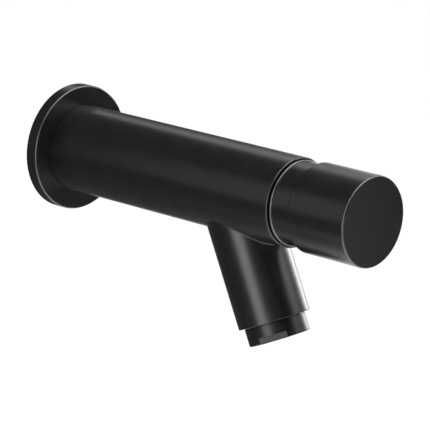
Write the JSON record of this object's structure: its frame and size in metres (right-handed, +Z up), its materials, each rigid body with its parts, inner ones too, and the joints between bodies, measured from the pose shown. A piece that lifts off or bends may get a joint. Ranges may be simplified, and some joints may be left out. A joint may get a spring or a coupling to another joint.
{
  "type": "push timed tap",
  "caption": "Wall-mounted push timed tap: round flange, straight body, short downturned spout with aerator and a push cap on a slide, satin black.",
  "frame": {"origin": "centre of the wall flange's back face, on the body's axis, in the plane of the finished wall", "axes": "+Y into the wall along the body's axis, +Z up, so the tap stands out along -Y and its spout points down and forward"},
  "size_m": [0.052, 0.1779, 0.0882],
  "materials": {
    "black_coat": "satin black powder coat over brass",
    "black_trim": "satin black plate on the aerator housing",
    "bare_brass": "machined brass",
    "stainless": "turned and drawn stainless steel",
    "black_rubber": "matt nitrile rubber",
    "white_acetal": "natural moulded acetal",
    "grey_acetal": "dark grey moulded acetal",
    "red_fibre": "pressed fibre washer"
  },
  "bodies": {
    "root": {"wall_flange": "black_coat", "flange_gasket": "black_rubber", "flange_o_ring": "black_rubber", "inlet_nipple": "bare_brass", "nipple_washer": "red_fibre", "inlet_plug": "bare_brass", "plug_o_ring": "black_rubber", "tap_body": "black_coat", "retaining_collar": "black_coat", "cap_guide_ring": "white_acetal", "cartridge_body": "bare_brass", "partition_o_ring": "black_rubber", "pilot_o_ring": "black_rubber", "timing_cup": "white_acetal", "bleed_pin": "stainless", "inlet_filter": "stainless", "guide_bush": "white_acetal", "rear_stem_o_ring": "black_rubber", "front_stem_o_ring": "black_rubber", "gland_washer": "stainless", "gland_circlip": "stainless", "return_spring": "stainless", "aerator_gasket": "black_rubber", "aerator_screen": "stainless", "flow_restrictor": "white_acetal", "aerator_insert": "grey_acetal", "aerator_housing": "black_trim"},
    "plunger": {"push_cap": "black_coat", "stem": "stainless", "cap_lock_nut": "bare_brass", "valve_washer": "black_rubber", "valve_holder": "bare_brass", "spacer_sleeve": "bare_brass", "piston": "white_acetal", "lip_seal": "black_rubber", "piston_nut": "stainless"}
  },
  "joints": [
    {"name": "button_press", "type": "slide", "parent": "root", "child": "plunger", "axis": [0, 1, 0], "range_m": [0, 0.007], "stiffness_N_per_m": 1500, "springref_m": -0.012, "deforming": ["return_spring"]}
  ]
}
